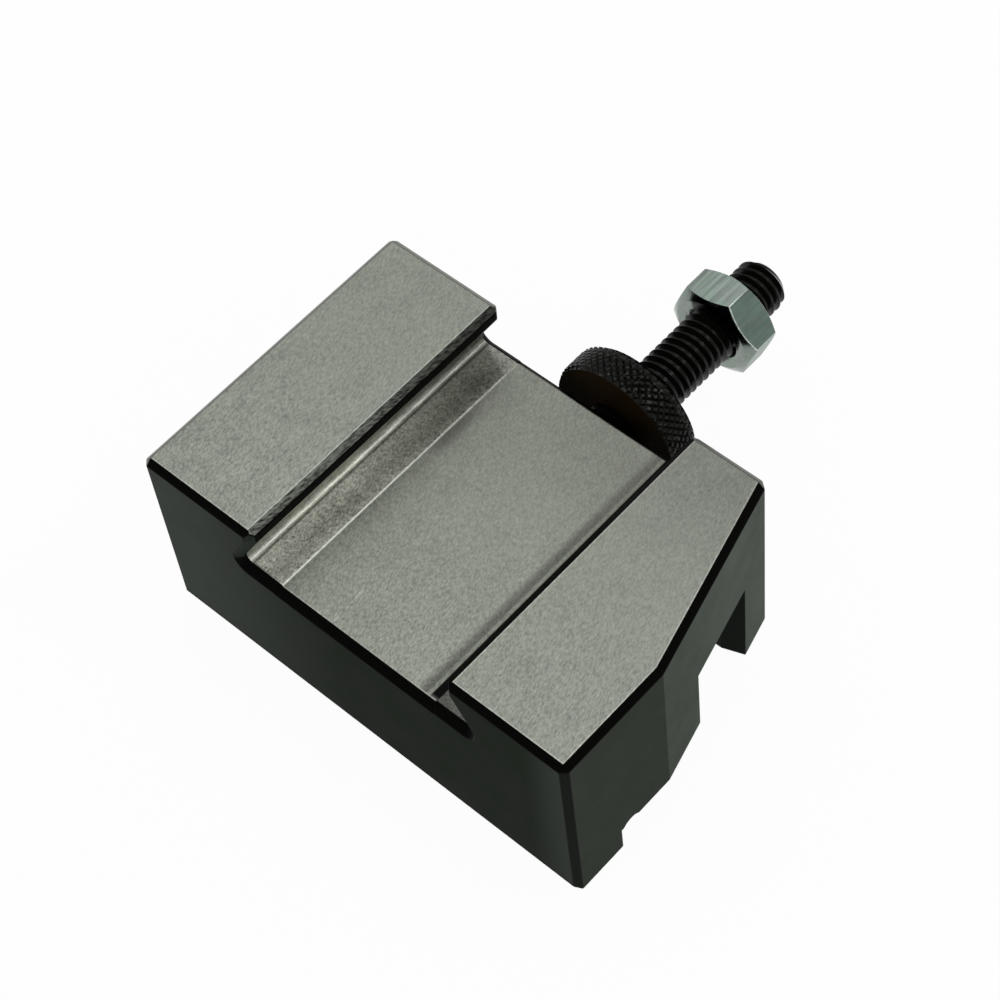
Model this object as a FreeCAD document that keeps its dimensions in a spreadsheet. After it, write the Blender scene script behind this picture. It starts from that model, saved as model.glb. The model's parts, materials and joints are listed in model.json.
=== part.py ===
import FreeCAD, Part
import math
import os

import Sketcher

# Parting tool holder for a dovetail tool post, lying with its blade side down.
# X runs along the blade, Y from the holder's lower end to the tip of its height stud,
# and Z from the open blade side, on which it rests, up to the ground dovetail face.

doc = FreeCAD.newDocument("parting_tool_holder")
sheet = doc.addObject("Spreadsheet::Sheet", "sizes")

SIZES = [
    # Holder block
    ("body_width", 70.0),
    ("body_height", 46.0),
    ("body_depth", 30.5),
    ("edge_chamfer", 0.8),
    ("bevel_width", 7.4),
    ("bevel_start", 17.5),
    # Dovetail slot in the upper face
    ("slot_mouth", 32.0),
    ("slot_depth", 9.1),
    ("lip_chamfer", 0.8),
    ("lip_flat", 1.4),
    ("flank_angle", 60.0),
    ("root_radius", 1.0),
    ("ground_strip", 26.0),
    ("strip_step", 0.12),
    ("slot_entry_chamfer", 1.1),
    # Blade seat and clamp pocket in the lower face
    ("ledge_thickness", 8.45),
    ("seat_depth", 4.1),
    ("seat_width", 17.8),
    ("seat_relief_radius", 1.8),
    ("seat_relief_depth", 0.65),
    ("pocket_width", 11.9),
    ("pocket_depth", 15.5),
    ("flare_length", 3.4),
    ("flare_angle", 20.0),
    # Height stud and its two nuts
    ("stud_drop", 16.0),
    ("stud_diameter", 7.8),
    ("stud_projection", 34.2),
    ("stud_chamfer", 1.0),
    ("thread_clearance", 0.05),
    ("height_nut_gap", 2.75),
    ("height_nut_diameter", 20.2),
    ("height_nut_thickness", 4.95),
    ("height_nut_chamfer", 0.7),
    ("height_nut_near_chamfer", 0.35),
    ("lock_nut_gap", 14.55),
    ("lock_nut_flats", 12.75),
    ("lock_nut_thickness", 5.9),
    ("lock_nut_face", 11.4),
    ("lock_nut_turn", 10.0),
    ("nut_chamfer_angle", 32.0),
    ("countersink_depth", 0.5),
    # Blade clamp and its screws
    ("clamp_length", 44.0),
    ("clamp_thickness", 10.6),
    ("clamp_side_gap", 0.15),
    ("clamp_floor_gap", 0.2),
    ("clamp_chamfer", 0.6),
    ("hook_reach", 2.2),
    ("hook_thickness", 1.4),
    ("screw_spacing", 24.0),
    ("screw_diameter", 5.0),
    ("screw_length", 12.0),
    ("head_diameter", 8.5),
    ("head_height", 5.0),
    ("head_chamfer", 0.4),
    ("head_sink", 0.4),
    ("head_clearance", 0.3),
    ("shank_clearance", 0.3),
    ("socket_flats", 4.0),
    ("socket_depth", 2.5),
    ("socket_turn", 0.0),
    ("screw_hole_roof", 0.8),
]

for row, (alias, number) in enumerate(SIZES, start=1):
    sheet.set(f"A{row}", alias)
    sheet.set(f"B{row}", str(number))
    sheet.setAlias(f"B{row}", alias)
doc.recompute()


class Length:
    """A size together with the expression that gives it from the sheet."""

    def __init__(self, value, text):
        self.value = value
        self.text = text

    def _joined(self, other, sign, value):
        other_text = other.text if isinstance(other, Length) else repr(other)
        return Length(value, f"({self.text} {sign} {other_text})")

    def __add__(self, other):
        return self._joined(other, "+", self.value + number_of(other))

    def __sub__(self, other):
        return self._joined(other, "-", self.value - number_of(other))

    def __mul__(self, other):
        return self._joined(other, "*", self.value * number_of(other))

    def __truediv__(self, other):
        return self._joined(other, "/", self.value / number_of(other))

    def __neg__(self):
        return Length(-self.value, f"(0 - {self.text})")


def number_of(length):
    return length.value if isinstance(length, Length) else length


def size(alias):
    return Length(sheet.get(alias), f"sizes.{alias}")


def tangent(angle):
    return Length(math.tan(math.radians(angle.value)), f"tan({angle.text} * 1 deg)")


def cosine(angle):
    return Length(math.cos(math.radians(angle.value)), f"cos({angle.text} * 1 deg)")


def sine(angle):
    return Length(math.sin(math.radians(angle.value)), f"sin({angle.text} * 1 deg)")


def bind(feature, path, length):
    feature.setExpression(path, length.text)


ZERO = Length(0.0, "0")
SAME_PLACE = 1e-4
LEAST_CUT = 1e-6

# Places that several pieces share, from the lower end (Y) and from the open side (Z)
half_width = size("body_width") / 2
overall_length = size("body_height") + size("stud_projection")
pocket_start = size("ledge_thickness") + size("seat_width")
pocket_end = pocket_start + size("pocket_width")
pocket_middle = pocket_start + size("pocket_width") / 2
slot_floor = size("body_depth") - size("slot_depth")
side_floor = slot_floor + size("strip_step")
stud_height = size("body_depth") - size("stud_drop")
stud_radius = size("stud_diameter") / 2
height_nut_start = size("body_height") + size("height_nut_gap")
height_nut_end = height_nut_start + size("height_nut_thickness")
lock_nut_start = height_nut_end + size("lock_nut_gap")
lock_nut_end = lock_nut_start + size("lock_nut_thickness")
clamp_top = size("clamp_floor_gap") + size("clamp_thickness")
head_bottom = size("clamp_floor_gap") + size("head_sink")
head_top = head_bottom + size("head_height")
screw_places = (-(size("screw_spacing") / 2), size("screw_spacing") / 2)


def new_body(name):
    body = doc.addObject("PartDesign::Body", name)
    body.Label = name
    bind(body, "Placement.Base.y", -(overall_length / 2))
    return body


def new_sketch(body, name, role, offset=None):
    """A sketch on one of the body's own origin planes, moved along its normal by offset."""
    plane = next(item for item in body.Origin.OriginFeatures if item.Role == role)
    sketch = body.newObject("Sketcher::SketchObject", name)
    sketch.AttachmentSupport = [(plane, "")]
    sketch.MapMode = "FlatFace"
    if offset is not None:
        bind(sketch, "AttachmentOffset.Base.z", offset)
    return sketch


def fix_point(sketch, geometry, point, across, up):
    for kind, length in (("DistanceX", across), ("DistanceY", up)):
        index = sketch.addConstraint(Sketcher.Constraint(kind, geometry, point, length.value))
        bind(sketch, f"Constraints[{index}]", length)


def add_outline(sketch, corners):
    """A closed outline of straight lines through the given corners."""
    vectors = [FreeCAD.Vector(across.value, up.value, 0) for across, up in corners]
    lines = []
    for start, end in zip(vectors, vectors[1:] + vectors[:1]):
        lines.append(sketch.addGeometry(Part.LineSegment(start, end), False))
    for line, following in zip(lines, lines[1:] + lines[:1]):
        sketch.addConstraint(Sketcher.Constraint("Coincident", line, 2, following, 1))
    for line, (across, up) in zip(lines, corners):
        fix_point(sketch, line, 1, across, up)


def add_circle(sketch, across, up, radius):
    centre = FreeCAD.Vector(across.value, up.value, 0)
    circle = sketch.addGeometry(Part.Circle(centre, FreeCAD.Vector(0, 0, 1), radius.value), False)
    fix_point(sketch, circle, 3, across, up)
    index = sketch.addConstraint(Sketcher.Constraint("Radius", circle, radius.value))
    bind(sketch, f"Constraints[{index}]", radius)


def hexagon(across, up, flats, turn):
    """Corners of a hexagon whose first corner stands at the given angle to the first axis."""
    corner_radius = flats / math.sqrt(3)
    corners = []
    for step in range(6):
        angle = turn + 60 * step
        corners.append((across + corner_radius * cosine(angle), up + corner_radius * sine(angle)))
    return corners


def pad(body, sketch, length, symmetric=False, reverse=False):
    feature = body.newObject("PartDesign::Pad", sketch.Name + "_pad")
    feature.Profile = sketch
    feature.SideType = "Symmetric" if symmetric else "One side"
    feature.Reversed = reverse
    bind(feature, "Length", length)
    sketch.Visibility = False
    return feature


def cut(body, sketch, length=None, reverse=False):
    """A pocket of the given length, or right through both ways when no length is given."""
    before = solid_volume(body)
    feature = body.newObject("PartDesign::Pocket", sketch.Name + "_cut")
    feature.Profile = sketch
    feature.Reversed = reverse
    if length is None:
        feature.SideType = "Two sides"
        feature.Type = "ThroughAll"
        feature.Type2 = "ThroughAll"
    else:
        feature.SideType = "One side"
        bind(feature, "Length", length)
    check_removed(body, feature, before)
    return feature


def spin(body, kind, sketch, axis):
    """A revolution or a groove of a sketch about one of the sketch's own axes."""
    before = solid_volume(body) if kind == "Groove" else 0
    feature = body.newObject("PartDesign::" + kind, sketch.Name + "_spin")
    feature.Profile = sketch
    feature.ReferenceAxis = (sketch, [axis])
    feature.Angle = 360
    if kind == "Groove":
        check_removed(body, feature, before)
    return feature


def solid_volume(body):
    doc.recompute()
    return body.Shape.Volume


def check_removed(body, feature, before):
    if solid_volume(body) > before - LEAST_CUT:
        raise RuntimeError(f"{feature.Name} removed nothing")


def edges_where(body, test):
    """Names of the body's straight or curved edges whose two ends and middle all pass the test."""
    doc.recompute()
    back = body.Placement.inverse()
    names = []
    for number, edge in enumerate(body.Shape.Edges, start=1):
        middle = edge.valueAt((edge.FirstParameter + edge.LastParameter) / 2)
        points = [back.multVec(vertex.Point) for vertex in edge.Vertexes] + [back.multVec(middle)]
        if all(test(point) for point in points):
            names.append(f"Edge{number}")
    return names


def finish_edges(body, kind, name, names, length):
    if not names:
        raise RuntimeError(f"{name} found no edge")
    base = body.Tip
    feature = body.newObject("PartDesign::" + kind, name)
    feature.Base = (base, names)
    bind(feature, "Size" if kind == "Chamfer" else "Radius", length)
    doc.recompute()
    return feature


def near(first, second):
    return abs(first - number_of(second)) < SAME_PLACE


def build_holder_body():
    body = new_body("holder_body")

    # End view: ledge, blade seat, clamp pocket and the leg that carries the stud
    side = new_sketch(body, "end_view", "YZ_Plane")
    add_outline(side, [
        (ZERO, ZERO),
        (size("ledge_thickness"), ZERO),
        (size("ledge_thickness"), size("seat_depth")),
        (pocket_start, size("seat_depth")),
        (pocket_start, size("pocket_depth")),
        (pocket_end, size("pocket_depth")),
        (pocket_end, ZERO),
        (size("body_height"), ZERO),
        (size("body_height"), size("body_depth")),
        (ZERO, size("body_depth")),
    ])
    pad(body, side, size("body_width"), symmetric=True)

    # Bevel that clears the chuck at the cutting end
    bevel = new_sketch(body, "front_bevel", "XY_Plane")
    add_outline(bevel, [
        (half_width, size("bevel_start")),
        (half_width, size("body_height")),
        (half_width - size("bevel_width"), size("body_height")),
    ])
    cut(body, bevel)

    # The pocket's mouth flares towards the leg where it meets the bevel
    flare = new_sketch(body, "pocket_flare", "XY_Plane")
    bevel_slope = size("bevel_width") / (size("body_height") - size("bevel_start"))
    mouth = half_width - bevel_slope * (pocket_end - size("bevel_start"))
    flare_rise = tangent(size("flare_angle")) * (size("flare_length") + size("bevel_width"))
    add_outline(flare, [
        (mouth - size("flare_length"), pocket_end),
        (mouth - size("flare_length"), pocket_middle),
        (mouth + size("bevel_width"), pocket_middle),
        (mouth + size("bevel_width"), pocket_end + flare_rise),
    ])
    cut(body, flare, size("pocket_depth"), reverse=True)

    outer_edges = edges_where(body, on_outside)
    finish_edges(body, "Chamfer", "outer_chamfer", outer_edges, size("edge_chamfer"))

    cut_dovetail_slot(body)
    cut_holder_holes(body)
    return body


def on_outside(point):
    """True on the sharp outer edges of the block: its upper and lower rims and its uprights."""
    upright_near = near(abs(point.x), half_width) and near(point.y, 0)
    upright_far = near(point.y, size("body_height")) and (
        near(point.x, -half_width) or near(point.x, half_width - size("bevel_width")))
    upper = near(point.z, size("body_depth"))
    lower_ledge = near(point.z, 0) and near(point.y, 0)
    lower_leg = near(point.z, 0) and near(point.y, size("body_height"))
    return upper or upright_near or upright_far or lower_ledge or lower_leg


def cut_dovetail_slot(body):
    half_mouth = size("slot_mouth") / 2
    lip_bottom = size("body_depth") - size("lip_chamfer") - size("lip_flat")
    flank_run = (lip_bottom - side_floor) / tangent(size("flank_angle"))
    half_root = half_mouth + flank_run
    half_strip = size("ground_strip") / 2
    lip_top = half_mouth + size("lip_chamfer")
    right = [
        (half_strip, slot_floor),
        (half_strip + size("strip_step"), side_floor),
        (half_root, side_floor),
        (half_mouth, lip_bottom),
        (half_mouth, size("body_depth") - size("lip_chamfer")),
        (lip_top, size("body_depth")),
        (lip_top, size("body_depth") + size("slot_depth")),
    ]
    left = [(-across, up) for across, up in reversed(right)]
    slot = new_sketch(body, "dovetail_slot", "XZ_Plane")
    add_outline(slot, right + left)
    cut(body, slot)

    def in_root(point):
        return near(abs(point.x), half_root) and near(point.z, side_floor)

    finish_edges(body, "Fillet", "dovetail_root", edges_where(body, in_root), size("root_radius"))

    # The slot's outline is broken at both ends, and more at the lower one, where the post enters
    def at_slot_end(point, end):
        below_rim = point.z < (size("body_depth") - size("edge_chamfer")).value + SAME_PLACE
        in_slot = point.z > slot_floor.value - SAME_PLACE and abs(point.x) < half_root.value
        return near(point.y, end) and below_rim and in_slot

    for name, end, chamfer in (("slot_entry_edge", ZERO, size("slot_entry_chamfer")),
                               ("slot_exit_edge", size("body_height"), size("edge_chamfer"))):
        rim = edges_where(body, lambda point: at_slot_end(point, end))
        finish_edges(body, "Chamfer", name, rim, chamfer)


def cut_holder_holes(body):
    # Relief along the corner where the blade's lower edge stands
    relief = new_sketch(body, "seat_relief", "YZ_Plane")
    relief_height = size("seat_depth") + size("seat_relief_depth") - size("seat_relief_radius")
    add_circle(relief, size("ledge_thickness") + size("seat_relief_radius"), relief_height,
               size("seat_relief_radius"))
    cut(body, relief)

    # Tapped hole for the height stud, through the leg
    stud_hole = new_sketch(body, "stud_hole", "XZ_Plane", -size("body_height"))
    add_circle(stud_hole, ZERO, stud_height, stud_radius + size("thread_clearance"))
    cut(body, stud_hole, size("body_height") - pocket_end, reverse=True)

    # Blind tapped holes for the clamp screws, in the roof of the pocket
    screw_holes = new_sketch(body, "clamp_screw_holes", "XY_Plane", size("pocket_depth"))
    for across in screw_places:
        add_circle(screw_holes, across, pocket_middle,
                   size("screw_diameter") / 2 + size("thread_clearance"))
    hole_depth = slot_floor - size("screw_hole_roof") - size("pocket_depth")
    cut(body, screw_holes, hole_depth, reverse=True)


def add_turned_section(body, name, stations):
    """A section on the YZ plane, turned about the stud's axis; stations are (along Y, radius)."""
    section = new_sketch(body, name, "YZ_Plane")
    add_outline(section, [(along, stud_height + radius) for along, radius in stations])
    axis_line = Part.LineSegment(FreeCAD.Vector(0, stud_height.value, 0),
                                 FreeCAD.Vector(overall_length.value, stud_height.value, 0))
    axis = section.addGeometry(axis_line, True)
    fix_point(section, axis, 1, ZERO, stud_height)
    fix_point(section, axis, 2, overall_length, stud_height)
    return section


def build_height_stud():
    body = new_body("height_stud")
    chamfer = size("stud_chamfer")
    start = pocket_end
    section = add_turned_section(body, "stud_section", [
        (start, ZERO),
        (start, stud_radius - chamfer),
        (start + chamfer, stud_radius),
        (overall_length - chamfer, stud_radius),
        (overall_length, stud_radius - chamfer),
        (overall_length, ZERO),
    ])
    spin(body, "Revolution", section, "Axis0")
    return body


def build_height_nut():
    body = new_body("knurled_height_nut")
    bore = stud_radius + size("thread_clearance")
    rim = size("height_nut_diameter") / 2
    chamfer = size("height_nut_chamfer")
    near_chamfer = size("height_nut_near_chamfer")
    sink = size("countersink_depth")
    section = add_turned_section(body, "height_nut_section", [
        (height_nut_start, bore + sink),
        (height_nut_start, rim - near_chamfer),
        (height_nut_start + near_chamfer, rim),
        (height_nut_end - chamfer, rim),
        (height_nut_end, rim - chamfer),
        (height_nut_end, bore + sink),
        (height_nut_end - sink, bore),
        (height_nut_start + sink, bore),
    ])
    spin(body, "Revolution", section, "Axis0")
    return body


def build_lock_nut():
    body = new_body("lock_nut")
    outline = new_sketch(body, "lock_nut_outline", "XZ_Plane", -lock_nut_start)
    add_outline(outline, hexagon(ZERO, stud_height, size("lock_nut_flats"), size("lock_nut_turn")))
    pad(body, outline, size("lock_nut_thickness"), reverse=True)

    # Conical chamfers that leave a round face at each end
    face = size("lock_nut_face") / 2
    reach = size("lock_nut_flats") - face
    slope = tangent(size("nut_chamfer_angle")) * reach
    ends = (("near_corners", lock_nut_start, slope), ("far_corners", lock_nut_end, -slope))
    for name, plane, inward in ends:
        corners = add_turned_section(body, name, [
            (plane, face),
            (plane + inward, face + reach),
            (plane, face + reach),
        ])
        spin(body, "Groove", corners, "Axis0")

    bore = stud_radius + size("thread_clearance")
    sink = size("countersink_depth")
    hole = add_turned_section(body, "lock_nut_bore", [
        (lock_nut_start, ZERO),
        (lock_nut_start, bore + sink),
        (lock_nut_start + sink, bore),
        (lock_nut_end - sink, bore),
        (lock_nut_end, bore + sink),
        (lock_nut_end, ZERO),
    ])
    spin(body, "Groove", hole, "Axis0")
    return body


def build_blade_clamp():
    body = new_body("blade_clamp")
    gap = size("clamp_side_gap")
    start = pocket_start + gap
    end = pocket_end - gap
    bottom = size("clamp_floor_gap")
    reach = size("hook_reach")
    hook_top = bottom + size("hook_thickness")
    side = new_sketch(body, "clamp_section", "YZ_Plane")
    add_outline(side, [
        (start - reach, bottom),
        (end, bottom),
        (end, clamp_top),
        (start, clamp_top),
        (start, hook_top),
        (start - reach, hook_top),
    ])
    pad(body, side, size("clamp_length"), symmetric=True)

    def at_end_rim(point):
        on_end = near(abs(point.x), size("clamp_length") / 2)
        on_rim = near(point.z, clamp_top) or near(point.z, bottom) or near(point.y, end)
        return on_end and on_rim

    end_rims = edges_where(body, at_end_rim)
    finish_edges(body, "Chamfer", "clamp_end_chamfer", end_rims, size("clamp_chamfer"))

    shank = new_sketch(body, "clamp_shank_holes", "XY_Plane")
    recess = new_sketch(body, "clamp_head_recesses", "XY_Plane")
    shank_hole = size("screw_diameter") / 2 + size("shank_clearance")
    head_recess = size("head_diameter") / 2 + size("head_clearance")
    for across in screw_places:
        add_circle(shank, across, pocket_middle, shank_hole)
        add_circle(recess, across, pocket_middle, head_recess)
    cut(body, shank)
    cut(body, recess, head_top, reverse=True)
    return body


def build_clamp_screw(name, across):
    """A socket-head cap screw whose head seats in the clamp and whose shank points up."""
    body = new_body(name)
    head = size("head_diameter") / 2
    shank = size("screw_diameter") / 2
    chamfer = size("head_chamfer")
    tip = head_top + size("screw_length")
    section = new_sketch(body, name + "_section", "XZ_Plane", -pocket_middle)
    add_outline(section, [
        (across, head_bottom),
        (across + head - chamfer, head_bottom),
        (across + head, head_bottom + chamfer),
        (across + head, head_top),
        (across + shank, head_top),
        (across + shank, tip - chamfer),
        (across + shank - chamfer, tip),
        (across, tip),
    ])
    axis_line = Part.LineSegment(FreeCAD.Vector(across.value, 0, 0),
                                 FreeCAD.Vector(across.value, tip.value, 0))
    axis = section.addGeometry(axis_line, True)
    fix_point(section, axis, 1, across, ZERO)
    fix_point(section, axis, 2, across, tip)
    spin(body, "Revolution", section, "Axis0")

    socket = new_sketch(body, name + "_socket", "XY_Plane", head_bottom)
    add_outline(socket, hexagon(across, pocket_middle, size("socket_flats"), size("socket_turn")))
    cut(body, socket, size("socket_depth"), reverse=True)
    return body


pieces = [
    build_holder_body(),
    build_height_stud(),
    build_height_nut(),
    build_lock_nut(),
    build_blade_clamp(),
    build_clamp_screw("clamp_screw_left", screw_places[0]),
    build_clamp_screw("clamp_screw_right", screw_places[1]),
]
doc.recompute()

for item in doc.Objects:
    if "Invalid" in item.State or "Error" in item.State:
        raise RuntimeError(f"{item.Name} failed: {item.State}")
os.makedirs("parts", exist_ok=True)
for piece in pieces:
    shape = piece.Shape
    if shape.isNull() or not shape.isValid() or len(shape.Solids) != 1:
        raise RuntimeError(f"{piece.Label} isn't one valid solid")
    box = shape.BoundBox
    print(f"{piece.Label}: {shape.Volume:.1f} mm3, x {box.XMin:.2f} to {box.XMax:.2f}, "
          f"y {box.YMin:.2f} to {box.YMax:.2f}, z {box.ZMin:.2f} to {box.ZMax:.2f}")
    shape.exportStep(os.path.join("parts", piece.Label + ".step"))
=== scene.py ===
"""Dresses the parting tool holder: softened edges, cut threads, knurling and steel finishes."""

import json
import math

import bmesh
import bpy
from bpy.props import FloatProperty, FloatVectorProperty, IntProperty, PointerProperty
from mathutils import Matrix, Vector


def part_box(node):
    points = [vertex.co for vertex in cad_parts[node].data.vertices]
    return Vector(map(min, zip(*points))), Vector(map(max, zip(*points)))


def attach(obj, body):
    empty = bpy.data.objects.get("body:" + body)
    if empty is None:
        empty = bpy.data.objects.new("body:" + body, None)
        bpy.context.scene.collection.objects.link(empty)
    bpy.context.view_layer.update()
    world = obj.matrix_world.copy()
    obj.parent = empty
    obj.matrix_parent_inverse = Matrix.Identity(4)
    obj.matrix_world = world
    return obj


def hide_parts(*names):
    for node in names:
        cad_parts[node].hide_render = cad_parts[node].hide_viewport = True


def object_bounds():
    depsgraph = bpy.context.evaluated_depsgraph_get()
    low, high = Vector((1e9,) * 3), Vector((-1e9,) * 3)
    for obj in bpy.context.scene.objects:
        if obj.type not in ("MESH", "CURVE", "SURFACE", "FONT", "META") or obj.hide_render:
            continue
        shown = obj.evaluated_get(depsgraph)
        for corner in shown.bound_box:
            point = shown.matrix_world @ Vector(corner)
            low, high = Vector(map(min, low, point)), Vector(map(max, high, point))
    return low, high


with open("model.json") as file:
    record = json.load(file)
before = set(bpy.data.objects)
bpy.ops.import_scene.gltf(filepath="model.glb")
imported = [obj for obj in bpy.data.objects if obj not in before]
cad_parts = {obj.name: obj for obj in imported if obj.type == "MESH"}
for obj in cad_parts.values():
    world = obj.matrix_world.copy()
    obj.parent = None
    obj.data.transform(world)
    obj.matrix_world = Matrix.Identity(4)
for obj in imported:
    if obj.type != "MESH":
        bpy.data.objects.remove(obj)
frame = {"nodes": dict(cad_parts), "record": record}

bl_info = {
    "name": "Parting Tool Holder",
    "version": (1, 0, 0),
    "blender": (4, 5, 0),
    "location": "3D View > Sidebar > Tool Holder",
    "description": "Models a dovetail parting tool holder with its stud, nuts and blade clamp",
    "category": "Object",
}

MM = 0.001
WELD = 1e-6
CAD_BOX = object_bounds()
BLOCK_LOW, BLOCK_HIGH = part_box("holder_body")
STUD_LOW, STUD_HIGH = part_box("height_stud")
MOUNT_PLACES = {mount["name"]: Vector(mount["pos_m"]) for mount in frame["record"]["mounts"]}
SLOT_FLOOR = MOUNT_PLACES["dovetail"].z
ALONG_STUD = Vector((0, 1, 0))

# Angles between faces, in degrees: an edge to break, and a fold to keep crisp
SHARP_ANGLE = 25
FOLD_ANGLE = 10
SQUARE_ON = 0.99
WIDE_FACE = 20 * MM * MM
CHAMFER_AREA = 10 * MM * MM

# Where the block's finishes end, as the solid has them
IN_PLANE = 0.05 * MM
STRIP_EDGE = 13 * MM
STRIP_STEP = 0.12 * MM
SLOT_REACH = 20.2 * MM
RELIEF_DEPTH = 1.3 * MM
FLOOR_BAND = 0.3 * MM
LIP_HEIGHT = 5 * MM
MOUTH_HEIGHT = 8 * MM
LIP_REACH = 17.5 * MM
CHAMFER_REACH = 1 * MM
BROKEN_REACH = 0.6 * MM
PALE_REACH = 1.2 * MM
BORDER_REACH = 1.4 * MM

# Facets round a full turn
STUD_STEPS = 48
SCREW_STEPS = 32
HEAD_STEPS = 48
LOCK_NUT_STEPS = 96

GRAIN_DEPTH = 0.004
FLOOR_GAP = 0.05 * MM
FLOOR_WHITE = 0.96
LAMPS = (
    ("top_lamp", (-0.12, 0.1, 0.6), 0.4),
    ("glint_lamp", (0.27, 0.2, 0.46), 0.08),
    ("side_lamp", (0.45, -0.3, 0.3), 0.3),
)


def srgb(red, green, blue):
    """A colour given as it looks on a screen, 0 to 255, as the linear colour that Blender uses."""
    linear = []
    for level in (red, green, blue):
        share = level / 255
        linear.append(share / 12.92 if share <= 0.04045 else ((share + 0.055) / 1.055) ** 2.4)
    return tuple(linear)


def length(name, description, millimetres):
    """A size that the user may change, given in millimetres."""
    return FloatProperty(
        name=name, description=description, default=millimetres * MM, min=0, unit="LENGTH", precision=5
    )


def angle(name, description, degrees):
    """An angle that the user may change, given in degrees."""
    return FloatProperty(
        name=name, description=description, default=math.radians(degrees), subtype="ANGLE"
    )


def strength(name, description, default):
    """The strength of a light, which the user may change."""
    return FloatProperty(name=name, description=description, default=default, min=0)


def colour(name, description, red, green, blue):
    """A colour that the user may change, given as it looks on a screen."""
    return FloatVectorProperty(
        name=name,
        description=description,
        default=srgb(red, green, blue),
        size=3,
        min=0,
        max=1,
        subtype="COLOR",
    )


class BlockSettings(bpy.types.PropertyGroup):
    """Sizes and colours of the holder's block."""

    edge_radius: length("Edge radius", "Radius to which the block's sharp edges are broken", 0.12)
    # The bright border is a painted highlight on the ground faces.
    highlight_width: length("Bright width", "Width of the bright border on the ground faces", 0.17)
    border: length("Border", "Width of the dark border of the near upright chamfer", 0.16)
    ground: colour("Ground steel", "Surface-ground dovetail face", 151, 155, 145)
    slot: colour("Slot steel", "Ground floor of the dovetail slot", 146, 149, 139)
    # The milled band's steel is lifted by painted light against the shade of the lips.
    side_floor: colour("Side floor steel", "Milled bands beside the slot's ground floor", 182, 184, 174)
    # Painted shade: the side floor's darker copy towards the far end.
    side_floor_far_shade: colour("Far side floor", "The same bands towards their far end", 170, 172, 158)
    root_line: length("Root line", "How far from the middle the dovetail's root begins", 18.18)
    pale_chamfer: colour("Pale chamfer", "Bare chamfers behind and left of the pads", 114, 116, 109)
    # The root's steel is lifted by a painted highlight.
    root: colour("Root steel", "Rounded root and flank of the dovetail", 190, 191, 180)
    # Painted highlight on broken ground edges and the left step; the same bright steel colours the
    # slot's scratches.
    highlight_and_scratch: colour("Bright edge", "Broken edge of a ground face", 180, 183, 174)
    # The black oxide is painted at its own lit or shaded level on the front, side, bevel and far sides.
    front: colour("Blackened front", "Black oxide on the lower end", 61, 67, 62)
    # Painted shade towards the right of the lower end.
    front_right_shade: colour("Front, right", "Darker film towards the right of the lower end", 20, 28, 18)
    side: colour("Blackened side", "Black oxide on the cutting end", 51, 57, 49)
    bevel: colour("Blackened bevel", "Black oxide on the bevel", 70, 77, 69)
    oxide: colour("Black oxide", "Blackened seat, pocket and far sides", 24, 30, 25)
    # Black oxide, deepened by painted shade on the chamfers and lip.
    chamfer: colour("Dark chamfer", "Blackened chamfers and lip", 3, 3, 2)
    scrape: colour("Scraped lip", "Bare streaks along the lip's chamfer", 128, 131, 122)


class StudSettings(bpy.types.PropertyGroup):
    """Sizes and colour of the height stud."""

    pitch: length("Pitch", "Distance between neighbouring threads", 1.25)
    thread_depth: length("Thread depth", "Height of the thread from root to crest", 0.7)
    tip_chamfer: length("Tip chamfer", "Chamfer at the stud's free end", 1.0)
    steel: colour("Stud steel", "Blackened stud", 9, 9, 7)


class KnurledNutSettings(bpy.types.PropertyGroup):
    """Sizes and colour of the knurled height nut."""

    diamonds: IntProperty(
        name="Diamonds", description="Knurled diamonds round the nut", default=52, min=12
    )
    rows: IntProperty(name="Rows", description="Rows of diamonds across the rim", default=4, min=1)
    knurl_depth: length("Knurl depth", "Depth of the grooves between diamonds", 0.28)
    groove: length("Groove", "Width of the slope down from each diamond's top", 0.24)
    rim_margin: length("Rim margin", "Plain border between the knurl and each face", 0.12)
    near_chamfer: length("Near chamfer", "Chamfer of the rim towards the block", 0.35)
    far_chamfer: length("Far chamfer", "Chamfer of the rim towards the stud's tip", 0.7)
    bore: length("Bore", "Diameter of the hole for the stud", 7.9)
    near_countersink: length("Near countersink", "Depth of the countersink by the block", 0.12)
    far_countersink: length("Far countersink", "Depth of the countersink by the tip", 0.5)
    steel: colour("Nut steel", "Blackened knurled nut", 7, 7, 5)
    face_steel: colour("Nut face", "Brownish black on the nut's near face", 37, 27, 10)
    # Painted glints on some of the diamonds' tops.
    glint: colour("Glint", "Worn tops of some of the diamonds", 74, 76, 68)


class LockNutSettings(bpy.types.PropertyGroup):
    """Sizes and colour of the zinc-plated lock nut."""

    flats: length("Across flats", "Distance across the nut's flats", 12.75)
    face: length("Face diameter", "Diameter of each flat face inside its chamfer", 11.4)
    chamfer_angle: angle("Chamfer angle", "Slope of the turned chamfers", 32)
    turn: angle("Turn", "Turn of the first corner up from the X axis", 10)
    bore: length("Bore", "Diameter of the hole for the stud", 7.9)
    countersink: length("Countersink", "Depth of the countersink at each face", 0.5)
    edge_radius: length("Edge radius", "Radius to which the nut's corners are broken", 0.12)
    zinc: colour("Zinc", "Bright zinc plate", 172, 181, 175)
    face_zinc: colour("Face zinc", "Plate on the nut's near face", 132, 138, 133)
    # Painted highlight on the broken edges beside the right flat.
    highlight_zinc: colour("Corner zinc", "Polished edges beside the right flat", 226, 229, 226)
    # Painted shade: a darker copy of the plate for the flats turned towards +X.
    shaded_zinc: colour("Dull zinc", "Duller plate on the side flats", 124, 138, 131)


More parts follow.
